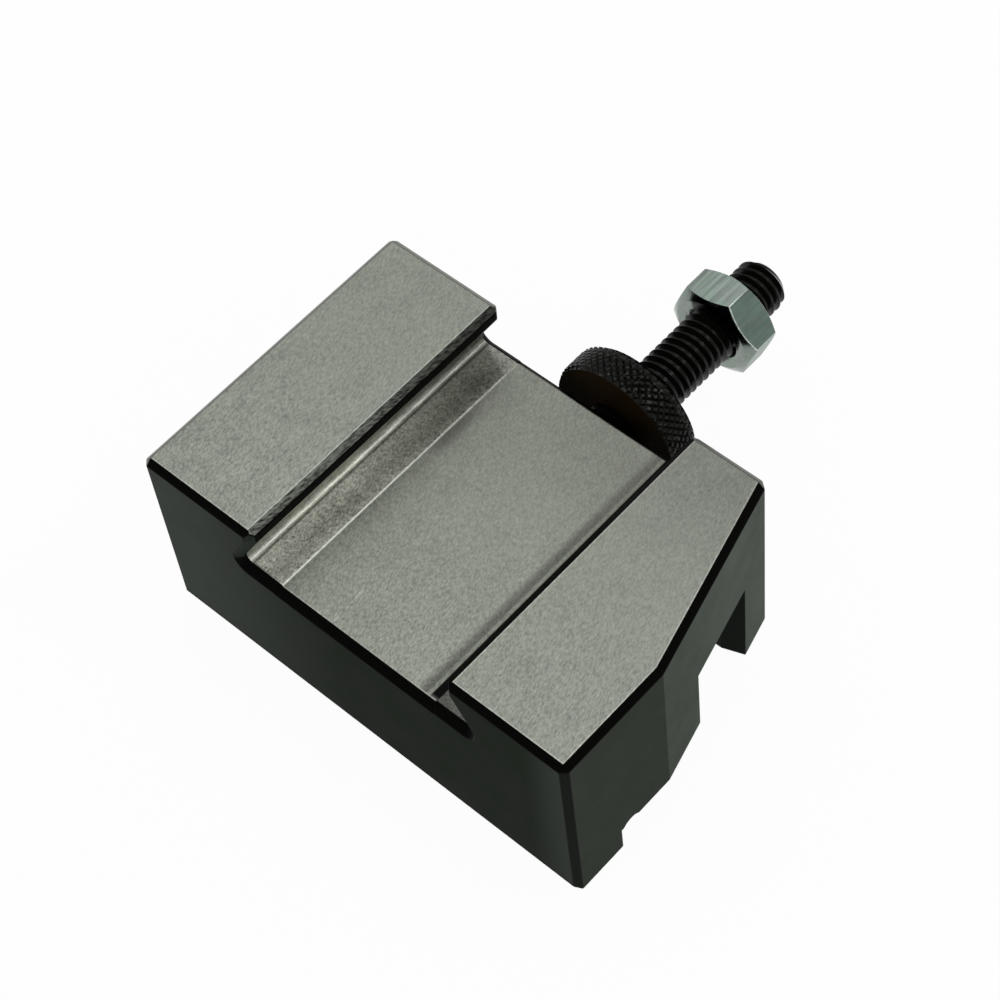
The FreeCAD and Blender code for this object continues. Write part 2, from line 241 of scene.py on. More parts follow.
class ClampSettings(bpy.types.PropertyGroup):
    """Sizes and colours of the blade clamp and its screws."""

    edge_radius: length("Edge radius", "Radius to which the clamp's edges are broken", 0.12)
    screw_pitch: length("Screw pitch", "Distance between neighbouring threads of a screw", 0.8)
    screw_thread_depth: length("Screw thread depth", "Height of a screw's thread", 0.45)
    screw_diameter: length("Screw diameter", "Diameter over the screw's thread", 5.0)
    head_height: length("Head height", "Height of the screw's head", 5.0)
    head_chamfer: length("Head chamfer", "Chamfer of the screw's head", 0.4)
    socket_flats: length("Socket", "Distance across the flats of the screw's socket", 4.0)
    socket_depth: length("Socket depth", "Depth of the screw's socket", 2.5)
    steel: colour("Clamp steel", "Milled and blackened clamp", 40, 42, 38)
    screw_steel: colour("Screw steel", "Blackened screws", 26, 26, 25)


class StudioSettings(bpy.types.PropertyGroup):
    """The camera's place and the light."""

    azimuth: angle("Azimuth", "Camera's turn round the holder", 48.524)
    elevation: angle("Elevation", "Camera's height above the horizon", 55.309)
    roll: angle("Roll", "Camera's turn about its own axis", -8.071)
    camera_place: FloatVectorProperty(
        name="Camera place",
        description="Where the camera stands",
        default=(0.14534, -0.14110, 0.30307),
        size=3,
        subtype="TRANSLATION",
    )
    lens: FloatProperty(name="Lens", description="Focal length in millimetres", default=98.18, min=10)
    shift_right: FloatProperty(name="Shift right", description="Sideways lens shift", default=-0.0014)
    shift_up: FloatProperty(name="Shift up", description="Upward lens shift", default=-0.0032)
    world_level: strength("World", "Strength of the even light", 0.6)
    top_lamp: strength("Top lamp", "Power of the lamp overhead", 0.5)
    glint_lamp: strength("Glint lamp", "Power of the small lamp behind the stud", 0.4)
    side_lamp: strength("Side lamp", "Power of the side lamp", 0.1)
    floor_size: FloatProperty(
        name="Floor", description="Side of the square floor", default=6.0, min=0.5, unit="LENGTH"
    )


SETTINGS = {
    "holder_block": BlockSettings,
    "holder_stud": StudSettings,
    "holder_knurled_nut": KnurledNutSettings,
    "holder_lock_nut": LockNutSettings,
    "holder_clamp": ClampSettings,
    "holder_studio": StudioSettings,
}


class Wire:
    """A value, colour or vector on its way through a finish, so that its sums read as sums."""

    def __init__(self, finish, socket):
        self.finish = finish
        self.socket = socket

    def __add__(self, other):
        return self.finish.maths("ADD", self, other)

    def __sub__(self, other):
        return self.finish.maths("SUBTRACT", self, other)

    def __rsub__(self, other):
        return self.finish.maths("SUBTRACT", other, self)

    def __mul__(self, other):
        return self.finish.maths("MULTIPLY", self, other)

    def __abs__(self):
        return self.finish.node("ShaderNodeMath", {"operation": "ABSOLUTE"}, {0: self})

    def larger(self, other):
        return self.finish.maths("MAXIMUM", self, other)

    def stretched(self, across, along, upright):
        """This vector with each of its three parts multiplied by its own number."""
        factors = (across, along, upright)
        return self.finish.node(
            "ShaderNodeVectorMath", {"operation": "MULTIPLY"}, {0: self, 1: factors}
        )

    def turned(self, degrees):
        """This vector turned about the upright axis."""
        settings = {"rotation_type": "Z_AXIS"}
        return self.finish.node(
            "ShaderNodeVectorRotate", settings, {"Vector": self, "Angle": math.radians(degrees)}
        )

    def smooth(self, low, high):
        """0 below low, 1 above high and a smooth rise between them."""
        return self.finish.node(
            "ShaderNodeMapRange",
            {"interpolation_type": "SMOOTHSTEP"},
            {"Value": self, "From Min": low, "From Max": high},
        )


class Finish:
    """A material and the nodes that make its colour and grain."""

    def __init__(self, name, metallic, roughness):
        self.material = bpy.data.materials.new(name)
        self.material.use_nodes = True
        self.tree = self.material.node_tree
        self.tree.nodes.clear()
        self.shader = self.tree.nodes.new("ShaderNodeBsdfPrincipled")
        output = self.tree.nodes.new("ShaderNodeOutputMaterial")
        self.tree.links.new(self.shader.outputs[0], output.inputs[0])
        self.set("Metallic", metallic)
        self.set("Roughness", roughness)

    def feed(self, socket, value):
        """Links a wire to a socket, or writes a plain value on it."""
        if isinstance(value, Wire):
            self.tree.links.new(value.socket, socket)
        elif socket.type == "RGBA":
            socket.default_value = (*value, 1)
        else:
            socket.default_value = value

    def set(self, name, value):
        self.feed(self.shader.inputs[name], value)

    def node(self, kind, settings, inputs, output=0):
        """A node of the kind, with its settings made first and its sockets fed after."""
        made = self.tree.nodes.new(kind)
        for name, value in settings.items():
            setattr(made, name, value)
        for name, value in inputs.items():
            self.feed(made.inputs[name], value)
        return Wire(self, made.outputs[output])

    def maths(self, operation, first, second):
        return self.node("ShaderNodeMath", {"operation": operation}, {0: first, 1: second})

    def place(self):
        """The point on the piece in millimetres."""
        metres = self.node("ShaderNodeTexCoord", {}, {}, "Object")
        return metres.stretched(1 / MM, 1 / MM, 1 / MM)

    def part_of_place(self, axis):
        """How far the point on the piece lies along X, Y or Z, in millimetres."""
        return self.node("ShaderNodeSeparateXYZ", {}, {"Vector": self.place()}, axis)

    def ground_grain(self):
        """Fine slanting lines about 0, over blotches and faint clouds."""
        place = self.place()
        lines = self.noise(place.turned(-16).stretched(5.2, 1.9, 5.2), 2, 0.6)
        blotches = self.noise(place.stretched(2.4, 2.0, 2.4), 1)
        clouds = self.noise(place.stretched(0.3, 0.2, 0.3), 2)
        self.set("Roughness", lines * 0.2 + clouds * 0.1 + 0.42)
        return lines * 1.15 + blotches * 0.25 + clouds * 0.25

    def noise(self, vector, detail=2.0, roughness=0.5):
        """Soft random values about 0, from about -0.5 to 0.5, one patch for each unit of the vector."""
        sockets = {"Vector": vector, "Scale": 1.0, "Detail": detail, "Roughness": roughness}
        return self.node("ShaderNodeTexNoise", {}, sockets) - 0.5

    def mixed(self, mask, first, second):
        """The first colour where the mask is 0 and the second where it is 1."""
        factor, colour_a, colour_b, colour_result = 0, 6, 7, 2
        return self.node(
            "ShaderNodeMix",
            {"data_type": "RGBA"},
            {factor: mask, colour_a: first, colour_b: second},
            colour_result,
        )

    def shaded(self, tint, level):
        """A colour made lighter or darker by a level about 1."""
        return self.node(
            "ShaderNodeVectorMath", {"operation": "SCALE"}, {"Vector": tint, "Scale": level}
        )

    def bump(self, height, depth):
        """Raises the surface where the height is larger. The depth is in millimetres."""
        sockets = {"Height": height, "Distance": depth * MM}
        self.set("Normal", self.node("ShaderNodeBump", {}, sockets))

    def done(self, tint, height, depth):
        """Sets the colour and the relief, and gives the finished material."""
        self.set("Base Color", tint)
        self.bump(height, depth)
        return self.material


def ground_steel(name, steel, contrast):
    """Bare ground steel: fine lines over faint clouds, with painted shade darkening it towards the far
    right.
    """
    finish = Finish(name, 0.9, 0.4)
    grain = finish.ground_grain()
    far = finish.part_of_place("Y").smooth(-16.0, 3.0)
    right = finish.part_of_place("X").smooth(-30.0, 25.0)
    contrast = (1.0 - finish.part_of_place("Y").smooth(-38.0, -8.0) * 0.36) * contrast
    # Painted shade: darker towards the right, and more so at the far right.
    level = (grain * contrast + 1.0) * (1.0 - right * 0.12 - far * right * 0.15)
    return finish.done(finish.shaded(steel, level), grain, GRAIN_DEPTH)


def slot_floor(name, settings):
    """The slot's ground floor: a painted shade band beside the right lip with a lighter line at its
    edge, a painted shadow under that lip, a painted shade patch by the left step, painted shade towards
    the far right, and a few bright scratches.
    """
    finish = Finish(name, 0.9, 0.4)
    grain = finish.ground_grain()
    across = finish.part_of_place("X")
    along = finish.part_of_place("Y")
    far = along.smooth(-16.0, 3.0)
    # Painted shade band beside the right lip, lighter again at a line by its edge.
    lip_shade_band = across.smooth(9.5, 10.9) - across.smooth(11.22, 11.4) * 0.6
    # Painted shade patch beside the left step, towards the far end.
    shade_patch = (1.0 - abs(across + 12.3).smooth(0.2, 1.5)) * (1.0 - abs(along + 8.0).smooth(1.0, 6.0))
    contrast = 1.6 - along.smooth(-38.0, -8.0) * 0.6
    # Painted shade: darker towards the far right.
    level = (grain * contrast + 1.0) * (1.0 - far * across.smooth(-30.0, 25.0) * 0.24)
    level = level * (1.0 - lip_shade_band * (0.54 - far * 0.15)) * (1.0 - shade_patch * 0.35)
    # Painted shadow: black under the right lip, except at the near end.
    lip_shadow = across.smooth(11.72, 11.94) * along.smooth(-39.3, -38.3)
    tint = finish.mixed(lip_shadow, finish.shaded(settings.slot, level), settings.chamfer)
    for middle_x, middle_y, reach in ((-4.75, -33.8, 0.9), (-4.55, -38.2, 0.6), (-5.0, -19.3, 0.3)):
        beside = abs(across - middle_x).smooth(0.06, 0.2)
        beyond = abs(along - middle_y).smooth(reach * 0.6, reach)
        tint = finish.mixed((1.0 - beside) * (1.0 - beyond) * 0.8, tint, settings.highlight_and_scratch)
    return finish.done(tint, grain, GRAIN_DEPTH)


def milled_side_floor(name, settings):
    """The band beside the slot's ground floor: a painted highlight along the left step, painted shade
    towards the far end, on the right band and beyond the root line, a painted reflection patch at the
    far end, and painted light near the root.
    """
    finish = Finish(name, 0.9, 0.45)
    place = finish.place()
    grain = finish.ground_grain() + finish.noise(place.turned(60).stretched(3.5, 1.2, 3.5), 2) * 0.6
    signed_across = finish.part_of_place("X")
    across = abs(signed_across)
    along = finish.part_of_place("Y")
    step = (STRIP_EDGE + STRIP_STEP) / MM
    root_line = settings.root_line / MM
    right = signed_across.smooth(-1.0, 1.0)
    # Painted shade towards the far end.
    far_shade = along.smooth(-25.0, 0.0)
    # Painted reflection patch behind a slanting line at the far end, a little less dark than the
    # painted shade round it.
    reflection_patch = (along - (across - step) * 0.4).smooth(2.2, 2.9)
    # Painted light near the root, against the shade there; the band is also made less metallic there.
    root_light = across.smooth(14.0, 17.6)
    level = (grain * 2.0 + 1.05) * (1.0 - far_shade * (1.0 - reflection_patch) * 0.52 - reflection_patch * 0.42)
    # Painted shade on the right band, under the right lip.
    level = level * (root_light * 0.3 + 1.0) * (1.0 - right * 0.8)
    finish.set("Metallic", 0.9 - root_light * 0.6)
    # Painted shade beyond the root line.
    level = level * (1.0 - across.smooth(root_line - 0.25, root_line - 0.1) * 0.5)
    tint = finish.mixed(far_shade * (1.0 - reflection_patch), settings.side_floor, settings.side_floor_far_shade)
    # Painted highlight along the left step, fading towards the far end.
    at_step = (1.0 - across.smooth(step + 0.06, step + 0.16)) * (1.0 - right) * (1.0 - reflection_patch)
    edge = finish.shaded(settings.highlight_and_scratch, grain * 1.2 + 1.4 - far_shade * 0.6)
    tint = finish.mixed(at_step, finish.shaded(tint, level), edge)
    return finish.done(tint, grain, GRAIN_DEPTH)


def dovetail_root(name, settings):
    """The rounded root: streaked bare steel, lifted by a painted highlight, with painted shade dimming
    it towards the far end.
    """
    finish = Finish(name, 0.9, 0.4)
    grain = finish.ground_grain()
    streaks = finish.noise(finish.place().turned(6).stretched(3.0, 0.3, 3.0), 3)
    # Painted shade towards the far end.
    far_shade = finish.part_of_place("Y").smooth(-25.0, 1.0)
    level = (grain * 1.2 + streaks * 1.3 + 1.0) * (1.0 - far_shade * 0.52)
    return finish.done(finish.shaded(settings.root, level), streaks, 0.01)


def black_oxide(name, steel, roughness, mottle, specular=0.15):
    """Blackened steel: a dark film, faintly cloudy, with the marks of the cutter under it."""
    finish = Finish(name, 0.0, roughness)
    place = finish.place()
    clouds = finish.noise(place.stretched(0.18, 0.18, 0.18), 3)
    cutter = finish.noise(place.stretched(0.7, 0.7, 7.0), 2)
    specks = finish.noise(place.stretched(5.0, 5.0, 5.0), 2)
    finish.set("Roughness", clouds * 0.16 + specks * 0.1 + roughness)
    finish.set("Specular IOR Level", specular)
    finish.bump(cutter + specks * 0.6, GRAIN_DEPTH)
    level = (clouds * 0.9 + cutter * 0.45 + specks * 0.5) * mottle + 1.0
    finish.set("Base Color", finish.shaded(steel, level))
    return finish, level


def plain_oxide(*args, **options):
    """Black oxide of one even depth."""
    return black_oxide(*args, **options)[0].material


def front_oxide(name, settings):
    """The lower end's film, with painted shade darkening it to the right, lifted again by the near
    corner, and darker at its foot.
    """
    finish, level = black_oxide(name, settings.front, 0.5, 0.7, 0.01)
    across = finish.part_of_place("X")
    # Painted shade to the right, with painted light taking part of it off by the near corner.
    right_shade = across.smooth(-35.0, 0.0) * (1.0 - across.smooth(27.5, 34.2) * 0.6)
    tint = finish.mixed(right_shade, settings.front, settings.front_right_shade)
    at_foot = 1.0 - finish.part_of_place("Z").smooth(0.9, 1.6)
    tint = finish.mixed(at_foot, tint, settings.chamfer)
    finish.set("Base Color", finish.shaded(tint, level))
    return finish.material


def bevel_oxide(name, steel):
    """The bevel's film, with painted light making it lighter towards the far end."""
    finish, level = black_oxide(name, steel, 0.5, 0.9, 0.01)
    # Painted light towards the far end.
    far_light = finish.part_of_place("Y").smooth(-20.0, -3.0) * 0.35
    finish.set("Base Color", finish.shaded(steel, level * (far_light + 0.9)))
    return finish.material


def glinting_knurl(name, steel, glint):
    """The knurl's film, with painted glints on a few of the diamonds."""
    finish, level = black_oxide(name, steel, 0.3, 1.2, 0.2)
    # Painted glints on sparse spots of the diamonds.
    glint_spots = finish.noise(finish.place().stretched(1.5, 1.5, 1.5), 1).smooth(0.06, 0.2)
    specks = finish.noise(finish.place().stretched(5.0, 5.0, 5.0), 2).smooth(-0.1, 0.15)
    finish.set("Base Color", finish.mixed(glint_spots * specks, finish.shaded(steel, level), glint))
    return finish.material


def scraped_lip(name, dark, bare):
    """The lip's chamfer, where slanting bare streaks show through the black film, with a painted glint
    at its near corner.
    """
    finish = Finish(name, 0.3, 0.5)
    place = finish.place()
    along = finish.part_of_place("Y")
    streaks = finish.noise(place.turned(20).stretched(3.6, 0.5, 3.6), 3, 0.6).smooth(-0.16, 0.16)
    long_streaks = finish.noise(place.stretched(5.0, 0.12, 5.0), 2).smooth(-0.2, 0.2)
    bareness = (streaks * 0.8 + long_streaks * 0.3) * (1.0 - along.smooth(-30.0, 6.0) * 0.75)
    # Painted glint at the lip's near corner.
    corner_glint = 1.0 - along.smooth(-39.3, -38.8)
    finish.set("Specular IOR Level", 0.1)
    return finish.done(finish.mixed(bareness.larger(corner_glint), dark, bare), streaks, 0.01)


def zinc_plate(name, zinc, roughness, streakiness, stud_reflection=False):
    """Bright zinc over drawn bar, with long soft streaks, and a painted dark reflection of the stud
    where asked for.
    """
    finish = Finish(name, 1.0, roughness)
    place = finish.place()
    streaks = finish.noise(place.stretched(1.9, 0.14, 1.9), 3)
    spangle = finish.noise(place.stretched(0.9, 0.7, 0.9), 2)
    greener = tuple(part * share for part, share in zip(zinc, (0.8, 0.95, 0.88)))
    base = finish.mixed(spangle.smooth(-0.2, 0.25), zinc, greener)
    level = streaks * streakiness + spangle * 0.5 + 1.0
    if stud_reflection:
        # Painted reflection: the stud's dark reflection over part of the near face.
        across = finish.part_of_place("X")
        beside = (across + spangle * 2.0).smooth(-3.6, -2.2)
        above = (finish.part_of_place("Z") - across * 1.9 + spangle * 2.0).smooth(6.8, 8.2)
        level = level * (1.0 - beside * above * 0.96)
    finish.set("Roughness", streaks * 0.25 + spangle * 0.12 + roughness)
    return finish.done(finish.shaded(base, level), streaks + spangle * 0.5, 0.012)


def edges_sharper_than(bm, degrees):
    """The edges where two faces meet at more than the given angle."""
    least = math.radians(degrees)
    return [edge for edge in bm.edges if edge.is_manifold and edge.calc_face_angle() > least]


def fold_lines(bm):
    """The places in the list of edges of each small-angled fold and of what carries it on."""
    bm.normal_update()
    bm.edges.index_update()
    angled = edges_sharper_than(bm, FOLD_ANGLE)
    wide = {face for face in bm.faces if face.calc_area() > WIDE_FACE}
    folds = [edge for edge in angled if wide.issuperset(edge.link_faces)]
    ends = {vertex for edge in folds for vertex in edge.verts}
    carried_on = [
        edge for edge in angled if ends.intersection(edge.verts) and wide.isdisjoint(edge.link_faces)
    ]
    return [edge.index for edge in folds + carried_on]


def weld(bm):
    """Merges the corners that lie on one point."""
    bmesh.ops.remove_doubles(bm, verts=bm.verts[:], dist=WELD)


def face_outward(bm):
    """Turns every face's front away from the inside."""
    bmesh.ops.recalc_face_normals(bm, faces=bm.faces[:])


def sides_cross(corner):
    """Whether the sides before and after a short side of a face cross each other."""
    first, second = corner.link_loop_prev.vert.co, corner.vert.co
    third, fourth = corner.link_loop_next.vert.co, corner.link_loop_next.link_loop_next.vert.co
    out = corner.face.normal

    def turn(start, end, other):
        return (end - start).cross(other - start).dot(out)

    return (
        turn(first, second, third) * turn(first, second, fourth) < 0
        and turn(third, fourth, first) * turn(third, fourth, second) < 0
    )


def untangle(bm, shortest):
    """Merges the ends of each short side whose neighbours cross, where broken edges meet."""
    bm.normal_update()
    merged = {}
    taken = set()
    for face in bm.faces:
        for corner in face.loops:
            ends = (corner.vert, corner.link_loop_next.vert)
            short = corner.edge.calc_length() < shortest
            if len(face.verts) > 3 and short and taken.isdisjoint(ends) and sides_cross(corner):
                merged[ends[0]] = ends[1]
                taken.update(ends)
    bmesh.ops.weld_verts(bm, targetmap=merged)


def break_edges(bm, edges, radius):
    """Rounds the edges to a small radius and gives the new faces back."""
    made = bmesh.ops.bevel(
        bm,
        geom=edges,
        offset=radius,
        offset_type="OFFSET",
        segments=2,
        profile=0.5,
        affect="EDGES",
        material=-1,
        clamp_overlap=False,
        miter_outer="SHARP",
    )
    return made["faces"]


def merged_copy(node):
    """A copy of a node's triangles with its corners merged and its flat faces made whole."""
    bm = bmesh.new()
    bm.from_mesh(frame["nodes"][node].data)
    weld(bm)
    flatness = math.radians(0.3)
    bmesh.ops.dissolve_limit(
        bm, angle_limit=flatness, use_dissolve_boundaries=False, verts=bm.verts[:], edges=bm.edges[:]
    )
    bm.normal_update()
    return bm


def finish_piece(bm, name, body, nodes, finishes, smooth_angle=30):
    """Makes the mesh a piece that rides on its body and stands for its nodes."""
    folds = fold_lines(bm)
    mesh = bpy.data.meshes.new(name)
    bm.to_mesh(mesh)
    bm.free()
    for material in finishes:
        mesh.materials.append(material)
    mesh.shade_smooth()
    mesh.set_sharp_from_angle(angle=math.radians(smooth_angle))
    for fold in folds:
        mesh.edges[fold].use_edge_sharp = True
    piece = bpy.data.objects.new(name, mesh)
    bpy.context.scene.collection.objects.link(piece)
    weighted = piece.modifiers.new("Even shading", "WEIGHTED_NORMAL")
    weighted.keep_sharp = True
    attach(piece, body)
    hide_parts(*nodes)
    return piece


def plane_off(bm, place, facing, closeness=WELD):
    """Cuts away what lies beyond a plane and closes the cut."""
    everything = bm.verts[:] + bm.edges[:] + bm.faces[:]
    cut = bmesh.ops.bisect_plane(
        bm, geom=everything, dist=closeness, plane_co=place, plane_no=facing, clear_outer=True
    )
    rim = [part for part in cut["geom_cut"] if isinstance(part, bmesh.types.BMEdge)]
    bmesh.ops.edgeloop_fill(bm, edges=rim)


def drawn_on(bm, ring):
    """Draws a ring of edges out into a band, and gives the new ring's corners and edges."""
    made = bmesh.ops.extrude_edge_only(bm, edges=ring)["geom"]
    corners = [part for part in made if isinstance(part, bmesh.types.BMVert)]
    edges = [part for part in made if isinstance(part, bmesh.types.BMEdge)]
    return corners, [edge for edge in edges if all(vertex in corners for vertex in edge.verts)]


def put_at_radius(vertex, radius):
    """Moves a corner straight out from the axis or in towards it."""
    out = math.hypot(vertex.co.x, vertex.co.z)
    vertex.co.x *= radius / out
    vertex.co.z *= radius / out


def move_to_axis(bm, low, high):
    """Moves what was made about the origin's Y axis to the middle of its box."""
    middle = (low + high) / 2
    bmesh.ops.translate(bm, verts=bm.verts[:], vec=(middle.x, 0, middle.z))


def spin_round(bm, section, steps, rise=0.0):
    """Sweeps a section once round the stud's direction, rising by so much at each step."""
    bmesh.ops.spin(
        bm,
        geom=section,
        cent=(0, 0, 0),
        axis=ALONG_STUD,
        dvec=ALONG_STUD * rise,
        angle=math.tau,
        steps=steps,
        use_merge=rise == 0,
    )


def draw_profile(bm, points):
    """A chain of edges through points given as radius and distance along the axis."""
    corners = [bm.verts.new((radius, along, 0)) for radius, along in points]
    chain = [bm.edges.new(pair) for pair in zip(corners, corners[1:])]
    return corners + chain


def turned_blank(points, steps, first_turn):
    """A ring turned on a lathe about the stud's direction, from its closed section."""
    bm = bmesh.new()
    draw_profile(bm, points + points[:1])
    weld(bm)
    section = bm.verts[:] + bm.edges[:]
    start = Matrix.Rotation(-first_turn, 3, "Y")
    bmesh.ops.rotate(bm, cent=(0, 0, 0), matrix=start, verts=bm.verts[:])
    spin_round(bm, section, steps)
    face_outward(bm)
    return bm


def cut_thread(start, end, crest, depth, pitch, steps):
    """A threaded rod along the stud's direction, cut square at both ends."""
    crest_flat = pitch / 8
    root_flat = pitch / 4
    flank = (pitch - crest_flat - root_flat) / 2
    root = crest - depth
    points = []
    along = start - 2 * pitch
    while along < end + pitch:
        points += [(crest, along), (crest, along + crest_flat)]
        points += [(root, along + crest_flat + flank), (root, along + pitch - flank)]
        along += pitch
    bm = bmesh.new()
    spin_round(bm, draw_profile(bm, points), steps, pitch / steps)
    weld(bm)
    plane_off(bm, ALONG_STUD * start, -ALONG_STUD, WELD / 10)
    plane_off(bm, ALONG_STUD * end, ALONG_STUD, WELD / 10)
    face_outward(bm)
    return bm


def taper_end(bm, end, radius, chamfer):
    """Draws in what stands outside a 45 degree chamfer before the end."""
    for vertex in bm.verts:
        room = radius - max(0.0, chamfer - abs(end - vertex.co.y))
        if math.hypot(vertex.co.x, vertex.co.z) > room:
            put_at_radius(vertex, room)


BLOCK_FINISHES = [
    "oxide", "front", "side", "bevel", "ground", "slot", "side_floor", "root", "highlight_and_scratch",
    "chamfer", "pale_chamfer", "scrape",
]
FLAT_STEEL = [BLOCK_FINISHES.index(name) for name in ("ground", "slot", "side_floor")]


def block_finish(face):
    """Which finish a face of the block has, from where it lies and which way it points."""
    middle = face.calc_center_median()
    facing = face.normal
    above_floor = middle.z - SLOT_FLOOR
    in_slot = abs(middle.x) < SLOT_REACH and above_floor > -RELIEF_DEPTH
    lengthwise = abs(facing.y) < 0.1
    near_top = middle.z > BLOCK_HIGH.z - CHAMFER_REACH and facing.z > 0.5
    if facing.z > SQUARE_ON and middle.z > BLOCK_HIGH.z - IN_PLANE:
        return "ground"
    if in_slot and lengthwise:
        if facing.z > SQUARE_ON and above_floor < FLOOR_BAND:
            return "slot" if above_floor < STRIP_STEP / 3 else "side_floor"
        if above_floor < STRIP_STEP and abs(middle.x) < STRIP_EDGE + 2 * STRIP_STEP:
            return "side_floor"
        if near_top:
            return "scrape" if middle.x < 0 else "chamfer"
        if abs(facing.z) < 0.05 and above_floor > LIP_HEIGHT:
            return "chamfer"
        return "root"
    if in_slot and above_floor < MOUTH_HEIGHT and 0.2 < abs(facing.y) < 0.95:
        on_flank = abs(facing.x) > 0.3 and above_floor > CHAMFER_REACH
        return "front" if on_flank and facing.y < 0 else "chamfer"
    if near_top:
        return "pale_chamfer" if facing.y > 0.5 or facing.x < -0.5 else "chamfer"
    if facing.y < -SQUARE_ON and middle.y < BLOCK_LOW.y + IN_PLANE:
        return "front"
    if facing.x > SQUARE_ON and middle.x > BLOCK_HIGH.x - IN_PLANE:
        return "side"
    if facing.x > 0.9 and facing.y > 0.1:
        return "bevel"
    return "oxide"


def strip_finish(face, neighbours):
    """The finish of a broken edge, from where it lies and the outer faces that it joins."""
    middle = face.calc_center_median()
    beside = {BLOCK_FINISHES[other.material_index] for other in neighbours}
    at_top = middle.z > BLOCK_HIGH.z - BROKEN_REACH and face.normal.z > 0.3
    if at_top and (middle.y > BLOCK_HIGH.y - PALE_REACH or middle.x < BLOCK_LOW.x + PALE_REACH):
        return "pale_chamfer"
    if at_top and -LIP_REACH < middle.x < 0 and middle.y > BLOCK_LOW.y + CHAMFER_REACH:
        return "scrape"
    return "oxide" if beside == {"oxide"} else "chamfer"


def mark_borders(bm, settings):
    """Marks painted highlight borders on the pads, except at their far and left edges, and at the
    floors' near end, and dark ones on the near upright chamfer.
    """
    flats = [
        face for face in bm.faces if face.material_index in FLAT_STEEL and face.normal.z > SQUARE_ON
    ]
    rims = bmesh.ops.inset_individual(
        bm, faces=flats, thickness=settings.highlight_width, use_even_offset=True
    )
    for face in rims["faces"]:
        middle = face.calc_center_median()
        by_right_root = 12 * MM < middle.x < 16 * MM
        near_end = middle.y < BLOCK_LOW.y + BORDER_REACH and not by_right_root
        on_pad = middle.z > BLOCK_HIGH.z - IN_PLANE
        behind = middle.y > BLOCK_HIGH.y - BORDER_REACH or middle.x < BLOCK_LOW.x + BORDER_REACH
        if near_end or (on_pad and not behind):
            face.material_index = BLOCK_FINISHES.index("highlight_and_scratch")
    upright = [
        face for face in bm.faces
        if face.normal.x > 0.5 and face.normal.y < -0.5 and face.calc_area() > CHAMFER_AREA
    ]
    borders = bmesh.ops.inset_individual(
        bm, faces=upright, thickness=settings.border, use_even_offset=True
    )
    for face in borders["faces"]:
        face.material_index = BLOCK_FINISHES.index("chamfer")


def block_piece(settings):
    """The holder's block with broken edges and its finishes face by face."""
    bm = merged_copy("holder_body")
    for face in bm.faces:
        face.material_index = BLOCK_FINISHES.index(block_finish(face))
    floor_top = SLOT_FLOOR + STRIP_STEP + WELD
    sharp = []
    for edge in edges_sharper_than(bm, SHARP_ANGLE):
        ends = [vertex.co for vertex in edge.verts]
        on_floor = all(SLOT_FLOOR - WELD < end.z < floor_top for end in ends)
        at_step = all(abs(abs(end.x) - STRIP_EDGE) < 2 * STRIP_STEP for end in ends)
        if not (on_floor and at_step):
            sharp.append(edge)
    new_faces = set(break_edges(bm, sharp, settings.edge_radius))
    for face in new_faces:
        neighbours = {other for edge in face.edges for other in edge.link_faces} - new_faces
        face.material_index = BLOCK_FINISHES.index(strip_finish(face, neighbours))
    untangle(bm, settings.edge_radius)
    mark_borders(bm, settings)
    bm.normal_update()
    finishes = [
        # Each face of black oxide at its own painted lit or shaded level.
        plain_oxide("black_oxide_far_sides", settings.oxide, 0.5, 0.7, 0.01),
        front_oxide("black_oxide_front", settings),
        plain_oxide("black_oxide_side", settings.side, 0.5, 0.7, 0.01),
        bevel_oxide("black_oxide_bevel", settings.bevel),
        ground_steel("ground_dovetail_face", settings.ground, 1.5),
        slot_floor("ground_slot_floor", settings),
        milled_side_floor("milled_side_floor", settings),
        dovetail_root("dovetail_root", settings),
        # Painted highlight on broken ground edges and borders.
        ground_steel("broken_ground_edge", settings.highlight_and_scratch, 1.4),
        plain_oxide("dark_chamfers", settings.chamfer, 0.5, 0.4, 0.03),
        ground_steel("pale_chamfers", settings.pale_chamfer, 1.0),
        scraped_lip("scraped_lip_chamfer", settings.chamfer, settings.scrape),
    ]
    return finish_piece(
        bm, "holder_block", "holder", ["holder_body"], finishes
    )


def stud_piece(settings):
    """The threaded height stud."""
    crest = (STUD_HIGH.x - STUD_LOW.x) / 2
    depth = settings.thread_depth
    bm = cut_thread(STUD_LOW.y, STUD_HIGH.y, crest, depth, settings.pitch, STUD_STEPS)
    taper_end(bm, STUD_HIGH.y, crest, settings.tip_chamfer)
    move_to_axis(bm, STUD_LOW, STUD_HIGH)
    finishes = [plain_oxide("black_stud_thread", settings.steel, 0.2, 0.5, 0.17)]
    return finish_piece(
        bm, "height_stud_thread", "holder", ["height_stud"], finishes, 25
    )


